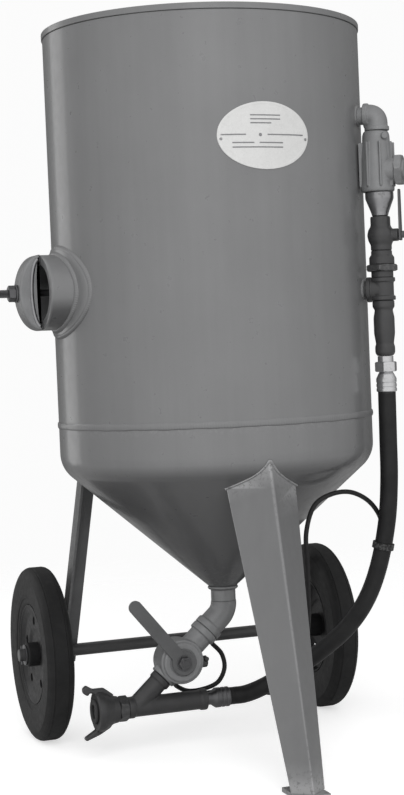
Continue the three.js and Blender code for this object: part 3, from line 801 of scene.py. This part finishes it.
def vessel():
    low = SEAM_Z + GAP
    inner = SHELL - WALL
    heights = [low + 1.2 + i * (RIM_BOTTOM - SEAM_Z - 3) / 18 for i in range(19)]
    profile = [(inner, low), (SHELL - 1.2, low)] + [(SHELL, z) for z in heights]
    profile += [(SHELL - 0.8, RIM_BOTTOM), (inner, RIM_BOTTOM)]
    shell = bare("shell", turned(profile, 0, 144))
    mouth = bare("cut", grid([side_ring(x, 98.4, 71.4) for x in (200, 330)]))
    carve(shell, mouth, port(BRANCH_Z), port(VENT_Z))
    piece(shell, "vessel", "tank_shell", angle=30)

    outer = SHELL + 2
    rim = [(inner, RIM_BOTTOM + GAP), (outer, RIM_BOTTOM + GAP), (outer, RIM_TOP), (inner, RIM_TOP)]
    piece(bare("rim", turned(rim, 1.6, 160, 4)), "vessel", "rim_ring")
    inside = head_line(-WALL, SEAM_Z)[::-1]
    inside[0] = (OUTLET - WALL, inside[0][1])
    head = turned(head_line(0, SEAM_Z) + inside, 0, 144)
    piece(bare("cone_head", head), "vessel", "bottom_head", angle=30)
    bead("girth_weld", hoop(SHELL, SEAM_Z + 1, 399), skin_normal, 6.2, 2.5, pitch=5)

    pipe_low = ELBOW_Z + 20 + GAP
    pipe_high = CONE_BOTTOM_Z - GAP
    nipple = [(18, pipe_low), (24.1, pipe_low), (24.1, pipe_high), (18, pipe_high)]
    piece(bare("outlet_pipe", turned(nipple, 0.8, 64)), "fitting", "outlet_nipple")
    bead("outlet_weld", hoop(26.5, CONE_BOTTOM_Z - 1, 59), flared(-1), 4.0, 3.0)


def top():
    flange = SHELL - WALL - GAP - WALL
    knuckle = 40
    knuckle_z = 1350
    fill_radius = 54

    def line(offset):
        r = knuckle + offset
        points = [(flange + offset, RIM_TOP - 14)]
        for i in range(11):
            a = radians(70) * i / 10
            points.append((flange - knuckle + r * cos(a), knuckle_z - r * sin(a)))
        last_r, last_z = points[-1]
        points.append((fill_radius, last_z - (last_r - fill_radius) * tan(radians(20))))
        return points
    dish = turned(line(0) + line(WALL)[::-1], 0, 144)
    piece(bare("dish", dish), "vessel", "top_head", angle=30)
    bead("dish_weld", hoop(flange + 2.4, RIM_TOP - 13, 299), lambda p: UP, 3.4, 2.0)
    seat = [(34, 1224), (53.7, 1224), (53.7, 1246), (46, 1246), (34, 1234)]
    piece(bare("seat", turned(seat, 1.5, 72)), "steel", "fill_seat")
    bead("seat_weld", hoop(54.5, 1238, 89), flared(1.5), 4.5, 2.6)
    gasket = [(34, 1212), (48, 1212), (48, 1223.7), (34, 1223.7)]
    piece(bare("seat_gasket", turned(gasket, 2, 72)), "seal", "popup_gasket")
    cone = [(0, 1092), (15, 1092), (15, 1166), (46, 1166), (46, 1172), (25, 1196), (0, 1199)]
    piece(bare("popup", turned(cone, 3, 72)), "iron", "popup_valve", body="popup")
    keep("riser_pipe", "steel")


# ---- Nameplate, with plain rules where lettering would be ----
def nameplate():
    centre_z = 1161.5
    lean = spin(radians(1.7), "Z")
    face = SHELL + 1.3

    def on_skin(u, v, r):
        return lean @ Vector((u, -sqrt(r * r - u * u), centre_z + v))

    def oval(u, v, half_u, half_v, steps, levels):
        return grid([[on_skin(u + half_u * share * c, v + half_v * share * s, r)
                      for c, s in around(steps)] for share, r in levels])

    def rule(u0, u1, v, cols=12):
        us = np.linspace(u0, u1, cols)
        loop = [(u, v - 1.1) for u in us] + [(u, v + 1.1) for u in us[::-1]]
        verts, faces = grid([[on_skin(u, w, r) for u, w in loop] for r in (face, 306.62)], caps=False)
        n = 2 * cols
        for k in range(cols - 1):
            faces.append((n + k, n + k + 1, n + n - 2 - k, n + n - 1 - k))
            faces.append((k + 1, k, n - 1 - k, n - 2 - k))
        return verts, faces

    plate = oval(0, 0, 88.4, 60.5, 96, [
        (0.001, 306.4), (0.3, 306.4), (0.6, 306.4), (0.9, 306.4), (0.925, 306.45), (0.935, 306.8),
        (0.985, 306.8), (0.998, 306.6), (1, 306.2), (1, 305.25), (0.6, 305.25), (0.001, 305.25)])
    piece(bare("badge", plate), "label", "nameplate", angle=50)
    rules = [rule(*ends) for ends in (
        (-83, -37, 1.5), (4, 77, 1.5), (-62, -22, -13), (-12, 34, -13),
        (-62, 34, -21), (-28, 30, 36), (-28, 30, 29), (-28, 12, 22))]
    dot = oval(-10, 1, 3, 3, 24, [(1, face), (1, 306.6), (0.7, 306.75), (0.05, 306.8)])
    piece(bare("badge_rules", merged(*rules, dot)), "ink", angle=50)
    for side, word in SIDES:
        head = [(1, 305.8), (1, 306.9), (0.75, 307.5), (0.3, 307.7), (0.02, 307.72)]
        pin = oval(side * 82, -6, 2.6, 2.6, 24, head)
        piece(bare(f"badge_pin_{word}", pin), "steel", angle=50)


# ---- Handway in the -X side ----
def shell_oval(half_y, half_z, radius, steps):
    """An oval round the handway, drawn on a cylinder of that radius."""
    out = []
    for c, s in around(steps):
        y = half_y * c
        out.append((-sqrt(radius * radius - y * y), y, HANDWAY_Z + half_z * s))
    return out


def threaded(start, length, radius, tip, pitch=2.0, depth=1.1, sides=28):
    """A bolt's thread along -X from start, tapered where it comes near its tip."""
    rings = []
    for i in range(int(length / pitch * 4) + 1):
        x = start - i * pitch / 4
        taper = min(1.0, (x - tip) / 2.5 + 0.55) if x < tip + 3 else 1.0
        ring = []
        for k, (c, s) in enumerate(around(sides)):
            phase = (i / 4 - k / sides) % 1
            r = (radius - depth * abs(2 * phase - 1)) * taper
            ring.append((x, r * c, HANDWAY_Z + r * s))
        rings.append(ring)
    return grid(rings)


def handway():
    half_y, half_z, face = 98, 71, 342
    rim = soft([(262, 0), (face, 0), (face, 21), (262, 21)], 5.0, closed=True, steps=5)
    rings = [side_ring(x, half_y - d, half_z - d * 0.91) for x, d in rim]
    piece(bare("handway_ring", grid(rings, closed_ends=True)), "vessel", "handway_neck")

    inner = 98.3 / 128
    levels = [(inner, 305.3), (inner, 311), (0.9, 311), (0.965, 310.3), (0.99, 308.6), (1, 306.5), (1, 305.3)]
    pad = [shell_oval(128 * share, 84 * share, r, 120) for share, r in levels]
    piece(bare("handway_saddle", grid(pad, closed_ends=True)), "vessel", "handway_pad", angle=40)

    def fillet(p):
        side = Vector((0, p.y / half_y, (p.z - HANDWAY_Z) / half_z)).normalized()
        return (Vector((p.x, p.y, 0)).normalized() + side * 0.9).normalized()
    bead("handway_weld", shell_oval(99.5, 72.5, 311, 200), fillet, 6.0, 4.2)
    bead("saddle_weld", shell_oval(129, 85, 305.4, 200), fillet, 5.0, 3.0)

    levels = [(0.0, 255.4), (0.9, 255.4), (1.0, 254), (1.0, 246.8), (0.94, 245.4), (0.0, 245.4)]
    cover = grid([side_ring(x, max(93 * share, 0.02), max(66 * share, 0.02)) for share, x in levels])
    piece(bare("cover", cover), "fitting", "handway_cover")
    keep("handway_gasket", "seal", 0.8)
    bolt = threaded(-255.7, 163, 7.9, -419)
    piece(bare("crab_bolt", bolt), "bolt", "handway_bolt", angle=60, weighted=False)

    # The crab is an arched bar in the plane of Z and X
    reach = 42
    arch = [(half_z * cos(a), reach * sin(a)) for a in np.linspace(0, pi, 41)]
    arch += [(-(half_z - 13) * cos(a), 4 * sin(a)) for a in np.linspace(0, pi, 25)]
    plane = facing((-face - GAP, 0, HANDWAY_Z), (0, 1, 0), (0, 0, 1)) @ Matrix.Diagonal((1, -1, 1, 1))
    piece(bare("crab", prism(arch, -25, 25, 0, 5.0), plane), "fitting", "handway_crab", angle=50)
    for side, word in ((-1, "front"), (1, "back")):
        rib = [Vector((-346 - 15 * sin(a), side * 24.5, HANDWAY_Z + 62 * cos(a)))
               for a in np.linspace(0.12, pi - 0.12, 41)]
        piece(bare(f"crab_rib_{word}", swept(rib, circle(3.6, 20))), "steel", angle=60)
    washer = turned([(8.3, 384.6), (17, 384.6), (17, 387.8), (8.3, 387.8)], 0.8, 48)
    turn = facing((0, 0, HANDWAY_Z), (-1, 0, 0))
    shapes = merged(moved(washer, turn), moved(nut(27, 387.6, 400.6), turn))
    piece(bare("crab_nut", shapes), "bolt", "handway_nut", body="crab_nut")


# ---- Legs, foot and axle ----
FOOT_X = -7
FOOT_HALF = 32
FOOT_RIDGE = -455


def leg_point(u, v, z):
    """A point of the leg's section, u across and v back in shares of its half width."""
    half = FOOT_HALF + 0.07 * z
    return Vector((FOOT_X + u * half, FOOT_RIDGE + 0.26 * z + v * 0.92 * half, z))


def leg_meets_skin(u):
    low, high = 200.0, 640.0
    for _ in range(40):
        mid = (low + high) / 2
        p = leg_point(u, abs(u), mid)
        if hypot(p.x, p.y) > skin_radius(mid) + 0.5:
            low = mid
        else:
            high = mid
    return leg_point(u, abs(u), low)


def legs():
    corners = [(0, 0), (1, 1), (0.86, 1), (0, 0.22), (-0.86, 1), (-1, 1)]
    section = soft(corners, 0.09, closed=True, steps=4)
    rings = [[tuple(leg_point(u, v, z)) for u, v in section] for z in np.linspace(8 + GAP, 640, 24)]
    leg = carve(bare("leg", grid(rings)), envelope())
    piece(leg, "frame", "front_leg", angle=40)
    seam = [leg_meets_skin(u) for u in np.linspace(-1, 1, 60)]

    def drooping(p):
        return (skin_normal(p) - UP * 0.6).normalized()
    bead("leg_weld", seam, drooping, 3.4, 2.2, "frame", closed=False)

    low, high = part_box("foot_plate")
    x0, x1 = ((v - AXIS_X) * 1000 for v in (low.x, high.x))
    y0, y1 = ((v - AXIS_Y) * 1000 for v in (low.y, high.y))
    piece(bare("foot", prism([(x0, y0), (x1, y0), (x1, y1), (x0, y1)], 0, 8, 3, 0.8)), "frame", "foot_plate")
    for _, word in SIDES:
        keep(f"rear_leg_{word}", "pipe", 0.9)
    across = facing((0, AXLE_Y, AXLE_Z), (1, 0, 0))
    piece(bare("axle_bar", post(12.5, -352, 352, 1.2), across), "rail", "axle")


# ---- Wheels ----
TYRE_HALF = 27.5
TYRE_SIDE = [
    (100.9, 8), (106, 5.5), (113, 4.6), (114, 3), (118, 2.4), (120, 1.8), (150, 0), (160, 0),
    (168, 4), (172, 7), (174.6, 11), (175.2, 12.4), (174.3, 13), (174.3, 14.2), (176, 15),
]
WHEEL_DISC = [
    (22, 4), (46, 4), (56, 9), (82, 9), (96, 2), (96, -19), (98, -21), (100.6, -21),
    (100.6, 21), (98, 21), (96, 19), (82, 13), (54, 13), (44, 8), (22, 8),
]


def wheels():
    tread = [(r, depth - TYRE_HALF) for r, depth in TYRE_SIDE]
    tread += [(r, TYRE_HALF - depth) for r, depth in TYRE_SIDE[::-1]]
    boss = [(12.9, -32), (22.5, -32), (24.3, -29), (24.3, 29), (22.5, 32), (12.9, 32)]
    washer = [(12.9, 32.3), (21, 32.3), (21, 35.5), (12.9, 35.5)]
    for side, word in SIDES:
        body = f"wheel_{word}"
        hub = facing((side * WHEEL_X, AXLE_Y, AXLE_Z), (side, 0, 0))
        tyre = bare(f"tyre_{word}_rubber", turned(tread, 1.0, 120), hub)
        piece(tyre, "tyre", f"tyre_{word}", body, angle=40)
        disc = bare(f"wheel_{word}_disc", turned(WHEEL_DISC, 2.5, 120), hub)
        drill = post(9, -5, 25, 0, 32)
        drills = [bare("cut", moved(drill, shift(68 * c, 68 * s, 0)), hub) for c, s in around(5)]
        carve(disc, *drills)
        piece(disc, "rim", f"wheel_disc_{word}", body, angle=40)
        piece(bare(f"wheel_{word}_hub", turned(boss, 1.0, 64), hub), "rim", (), body)
        piece(bare(f"washer_{word}", turned(washer, 0.6, 48), hub), "bolt", f"axle_washer_{word}")
        keep(f"cotter_pin_{word}", "bolt", 0.4)


def handle():
    corners = [(-150, 240, 1180), (-150, 395, 1200), (150, 395, 1200), (150, 240, 1180)]
    bar = carve(bare("push_handle", swept(bend(corners, 45, 16), circle(13.5, 32))), envelope())
    piece(bar, "frame", "rear_handle", angle=40)
    for side, word in SIDES:
        boss_weld(f"handle_weld_{word}", "frame", Vector((side * 150, 265, 1183)), 14.2, 1)


# ---- Air stack on the right of the front ----
def stacked(name, profile, look, covers, radius=1.2, steps=64):
    return piece(bare(name, turned(profile, radius, steps), STACK), look, covers)


def casting(name, shapes, matrix, voxel, smoothing, look, covers):
    """Overlapping shapes run together into one cast piece."""
    made = as_cast(bare(name, merged(*shapes), matrix), voxel, smoothing)
    return piece(made, look, covers, angle=180, weighted=False)


def outlet_boss(radius, low, high, z, way=1):
    """A round boss across the stack's axis, outward (1) or toward the vessel (-1)."""
    return moved(post(radius, low, high), shift(0, 0, z) @ spin(way * pi / 2, "X"))


def crimped(start, tail):
    """A hose ferrule with two crimped grooves, and the tail's own points."""
    grooves = [
        (0, 0), (18.5, 0), (19.5, 1.5), (19.5, 6), (18.6, 7), (18.6, 9), (19.5, 10),
        (19.5, 14.5), (18.6, 15.5), (18.6, 17.5), (19.5, 18.5),
    ]
    return [(r, start + z) for r, z in grooves + tail]


def relay():
    profile = [
        (0, 1068.3), (29, 1068.3), (30, 1074), (28, 1086), (27, 1130), (25, 1150),
        (24, 1176), (21, 1184), (0, 1184),
    ]
    shapes = [turned(profile, 3, 64)]
    rib = prism([(-1.8, -32.4), (1.8, -32.4), (1.8, -20), (-1.8, -20)], 1078, 1162, 0, 1.0)
    shapes += [moved(rib, spin((i + 0.5) * pi / 4, "Z")) for i in range(8)]
    fatter = shift(0, 2.6, 0) @ Matrix.Diagonal((1.06, 1.08, 1, 1))
    shapes = [moved(shape, fatter) for shape in shapes]
    shapes.append(outlet_boss(24, 0, 33, 1108))
    signal = spin(radians(-50), "Z") @ shift(0, 0, 1172) @ spin(pi / 2, "X")
    shapes.append(moved(post(6.2, 0, 30), signal))
    casting("relay_casting", shapes, STACK, 1.1, 2, "fitting", "relay_body")
    cap = merged(nut(54, 33.3, 48), turned([(0, 47), (20, 47), (19, 52), (0, 52)], 1.5, 48))
    piece(bare("relay_cap", cap, outward(1108)), "fitting", "relay_side_cap")


def choke():
    body = [
        (0, 957.3), (20, 957.3), (20, 968), (24, 976), (26, 986), (24, 996), (19, 1004),
        (19, 1022), (0, 1022),
    ]
    shapes = [turned(body, 2.5, 64), outlet_boss(12, 0, 34, 986)]
    casting("choke_casting", shapes, STACK, 1.1, 2, "stack", "choke_body")
    bar = prism([(-9, -11), (9, -11), (9, 12), (6, 86), (-6, 86), (-9, 12)], 36, 40, 4, 0.7)
    lever = merged(post(5, 34.3, 37), bar, nut(13, 39.8, 46), post(3.6, 44, 47.5, 0.5, 24))
    piece(bare("choke_handle", lever, outward(986)), "bolt", "choke_lever", body="choke")


def piping():
    curve = bend([(0, 24, VENT_Z), (0, 0, VENT_Z), (0, 0, 1184.3)], 16)
    bands = [moved(post(23.5, 0, 8), shift(0, 0, 1184.3)), outlet_boss(23.5, 15, 24, VENT_Z, -1)]
    elbow = [swept(curve, circle(21, 40)), *bands]
    casting("vent_elbow_casting", elbow, STACK, 1.1, 3, "fitting", "vent_elbow")
    nipple = turned([(0, 23), (16.7, 23), (16.7, 54), (0, 54)], 0.5)
    piece(bare("vent_nipple", nipple, inward(VENT_Z)), "fitting")
    relay()
    sleeve = [(0, 1022.3), (15, 1022.3), (17, 1030), (27, 1056), (27, 1068), (0, 1068)]
    stacked("reducer_sleeve", sleeve, "steel", "reducer", 2.0)
    choke()

    upper = [(13, 931.3), (24, 931.3), (24, 944), (20, 950), (20, 957), (13, 957)]
    stacked("union_ring", upper, "stack", "union_upper")
    lower = turned([(13, 906.3), (21, 906.3), (21, 918.4), (13, 918.4)], 1.0, 64)
    piece(bare("union_hex", merged(nut(54, 918, 931), lower), STACK), "stack", "union_nut")
    tee = [post(24, 898, 906), post(24, 863, 871), post(21, 864, 905),
           outlet_boss(21, 0, 29, BRANCH_Z, -1), outlet_boss(24, 22, 30, BRANCH_Z, -1)]
    casting("tee_casting", tee, STACK, 1.1, 3, "stack", "tee")
    pipe = turned([(12.5, 30.3), (16.7, 30.3), (16.7, 79), (12.5, 79)], 0.5)
    piece(bare("branch_pipe", pipe, inward(BRANCH_Z)), "stack", "branch_nipple")
    check = [
        (0, 757), (15, 757), (19, 763), (19, 775), (17, 780), (20, 800), (20, 830), (17, 845),
        (21, 850), (21, 862.7), (0, 862.7),
    ]
    stacked("check_casting", check, "stack", "check_valve", 3.0)
    end = merged(nut(38, 727, 746), turned([(0, 745), (15, 745), (15, 756.7), (0, 756.7)], 0.6, 48))
    piece(bare("hose_hex", end, STACK), "chrome", "hose_nut")
    ferrule = crimped(689, [(19.5, 25), (16.5, 31), (13, 37.7), (0, 37.7)])
    stacked("hose_end", ferrule, "chrome", "hose_ferrule", 0.6)
    for z, name in ((BRANCH_Z, "branch_weld"), (VENT_Z, "vent_weld")):
        boss_weld(name, "vessel", Vector((0, -SHELL, z)), 17.6, -1, spin(PIPING_AZIMUTH, "Z"))


# ---- Bottom outlet ----
def metering():
    aim = (-DROP.z * 0.79, 0.61, DROP.x * 0.79)
    elbow_end = (0, 0, ELBOW_Z)
    bosses = [moved(post(5.5, 0, high), facing(Vector(elbow_end) + DROP * along, aim))
              for along, high in ((58, 40), (166, 44))]
    barrel = merged(post(24, 52.3, 178), post(28, 52.3, 66.3, 1.5), post(26, 166, 178, 1.5))
    body = [moved(barrel, SLOPE), moved(post(43, -28, 28, 2, 64), CROSS), *bosses]
    casting("valve_casting", body, HERE, 1.4, 3, "fitting", "valve_body")
    cover = [
        (8.3, 28.3), (38, 28.3), (38, 31.5), (35, 33), (27, 33), (25.5, 32), (8.3, 32),
    ]
    piece(bare("valve_face", turned(cover, 1.0, 72), CROSS), "fitting", "valve_cover")
    keep("valve_plug", "bolt", 0.4)

    length, width, mouth = 161, 13, radians(33)
    shape = [(24 * cos(a), 24 * sin(a)) for a in np.linspace(mouth, 2 * pi - mouth, 40)]
    shape += [(length - width + width * cos(a), width * sin(a)) for a in np.linspace(-pi / 2, pi / 2, 20)]
    bar = moved(prism(shape, 33.3, 39, 0, 0.9), spin(radians(128.7), "Z"))
    piece(bare("metering_handle", bar, CROSS), "pipe", "metering_lever", body="metering", angle=45)
    washer = turned([(0, 39), (15, 39), (15, 40.8), (0, 40.8)], 0.5, 48)
    cap = merged(washer, nut(22, 40.6, 47), post(7, 45, 48, 1.0, 32))
    piece(bare("metering_nut", cap, CROSS), "bolt", "lever_nut", body="metering")
    knob = facing((VALVE.x, VALVE.y, VALVE.z - 8), (1, 0, 0))
    wing = moved(post(4.5, -17, 17, 1.5, 32), facing((0, 0, 54), (0.5, 1, 0)))
    piece(bare("cleanout_hex", merged(nut(20, 43.3, 58), wing), knob), "iron", "cleanout_plug")


def coupling(start):
    piece(bare("collar_hex", nut(44, start, start + 18), ALONG), "iron", "coupling_collar")
    face = 268
    body = turned([(12, start + 18.3), (25, start + 18.3), (27, start + 30), (38, face - 14), (39, face - 10),
                   (39, face), (12, face)], 2.0, 64)
    shapes = [moved(body, ALONG)]
    plane = facing((0, 0, RUN_Z), (0, 1, 0), (-1, 0, 0))
    for line in (
        [(232, 30), (250, 44), (272, 44), (284, 52), (292, 46), (290, 36), (282, 32), (280, 38),
         (268, 34), (256, 28), (240, 20)],
        [(234, -20), (256, -28), (268, -34), (291, -48), (290, -54), (262, -44), (240, -32)],
    ):
        shapes.append(moved(prism(line, -8, 8, 3, 1.2), plane))
    casting("coupling", shapes, HERE, 1.3, 3, "iron", "hose_coupling")
    seal = [(14, face + GAP), (24, face + GAP), (24, face + 5), (14, face + 5)]
    piece(bare("coupling_seal", turned(seal, 1.6, 56), ALONG), "seal", "coupling_gasket")


def outlet():
    curve = bend([(0, 0, ELBOW_Z + 20), (0, 0, ELBOW_Z), tuple(Vector((0, 0, ELBOW_Z)) + DROP * 52)], 18)
    elbow = [swept(curve, circle(25, 40)), moved(post(28, 38, 52, 1.5), SLOPE)]
    casting("drop_elbow", elbow, HERE, 1.3, 3, "fitting", "elbow_45")
    metering()
    run_end = 204.8
    run = merged(post(19, 45, run_end), post(21, 45, 58, 1.5), post(21, run_end - 13, run_end, 1.5))
    branch = merged(post(19, 178.3, 248), post(21.5, 178.3, 190, 1.5))
    boss = moved(post(5.5, 0, 42), facing((-60, 0, RUN_Z), (0.5, 0.866, 0)))
    wye = [moved(run, ALONG), moved(branch, SLOPE), boss]
    casting("wye_casting", wye, HERE, 1.3, 3, "iron", "wye")
    coupling(run_end + GAP)
    ferrule = crimped(-2, [(19.5, 28), (16, 33), (12.5, 38), (12.5, 46.7), (0, 46.7)])
    piece(bare("lower_end", turned(ferrule, 0.6, 64), ALONG), "bolt", "lower_ferrule")
    keep("hose_band", "hose", 0.5)


for build in (vessel, top, nameplate, handway, legs, wheels, handle, piping, outlet):
    build()


# ---- Floor, light and air ----
def floor():
    """A pale disc that fades out into the white behind it."""
    made = bare("floor", grid([hoop(r, -0.4, 64) for r in (1, 1500, 4000, 9000)], caps=False))
    look = Look("floor", "floor", (0.62, 0.62, 0.62))
    look.shade(look.noise(3, 3, 0.5), 0.01)
    look.done(0.7)
    distance = look.node("ShaderNodeVectorMath", Vector=look.coords)
    distance.operation = "LENGTH"
    mix = look.node("ShaderNodeMixShader", Fac=look.remap(distance.outputs["Value"], 1.6, 3.6))
    glow = look.node("ShaderNodeEmission", Strength=0.60)
    dark = look.node("ShaderNodeEmission", Strength=0)
    seen = look.tree.nodes.new("ShaderNodeLightPath").outputs["Is Camera Ray"]
    choice = look.node("ShaderNodeMixShader", Fac=seen)
    lit = look.tree.nodes.new("ShaderNodeAddShader")
    clear = look.tree.nodes.new("ShaderNodeBsdfTransparent")
    for shader, socket in (
        (dark, choice.inputs[1]), (glow, choice.inputs[2]), (choice, lit.inputs[1]),
        (lit, mix.inputs[1]), (clear, mix.inputs[2]),
        (mix, look.tree.nodes["Material Output"].inputs["Surface"]),
    ):
        look.feed(socket, shader.outputs[0])
    look.feed(lit.inputs[0], look.shader.outputs[0])
    made.data.materials.append(look.material)


def room():
    """Light that is strongest from the front and above, with white behind the object."""
    world = bpy.data.worlds.new("studio")
    bpy.context.scene.world = world
    world.use_nodes = True
    tree = world.node_tree
    back = tree.nodes["Background"]
    back.inputs["Color"].default_value = (1, 1, 1, 1)
    toward = tree.nodes.new("ShaderNodeVectorMath")
    toward.operation = "DOT_PRODUCT"
    toward.inputs[1].default_value = Vector((-0.24, -0.83, 0.50)).normalized()
    tree.links.new(tree.nodes.new("ShaderNodeTexCoord").outputs["Generated"], toward.inputs[0])
    level = tree.nodes.new("ShaderNodeMapRange")
    level.interpolation_type = "SMOOTHSTEP"
    for socket, value in (("From Min", -0.9), ("From Max", 0.9), ("To Min", 0.17), ("To Max", 0.80)):
        level.inputs[socket].default_value = value
    tree.links.new(toward.outputs["Value"], level.inputs["Value"])
    pick = tree.nodes.new("ShaderNodeMix")
    tree.links.new(tree.nodes.new("ShaderNodeLightPath").outputs["Is Camera Ray"], pick.inputs[0])
    tree.links.new(level.outputs[0], pick.inputs[2])
    pick.inputs[3].default_value = 0.97
    tree.links.new(pick.outputs[0], back.inputs["Strength"])


def softbox(name, place, target, width, height, power):
    data = bpy.data.lights.new(name, "AREA")
    data.shape = "RECTANGLE"
    data.size = width
    data.size_y = height
    data.energy = power
    lamp = placed(name, data)
    lamp.location = at(*place)
    lamp.rotation_mode = "QUATERNION"
    lamp.rotation_quaternion = (at(*target) - at(*place)).to_track_quat("-Z", "Y")
    return lamp


floor()
room()
key = softbox("key", (-1250, -4250, 2700), (0, 0, 800), 2.6, 2.6, 150)
key.visible_glossy = False
softbox("strip", (-1830, 2380, 1100), (0, 0, 900), 1.1, 2.6, 11)
bpy.context.scene.view_settings.view_transform = "Standard"
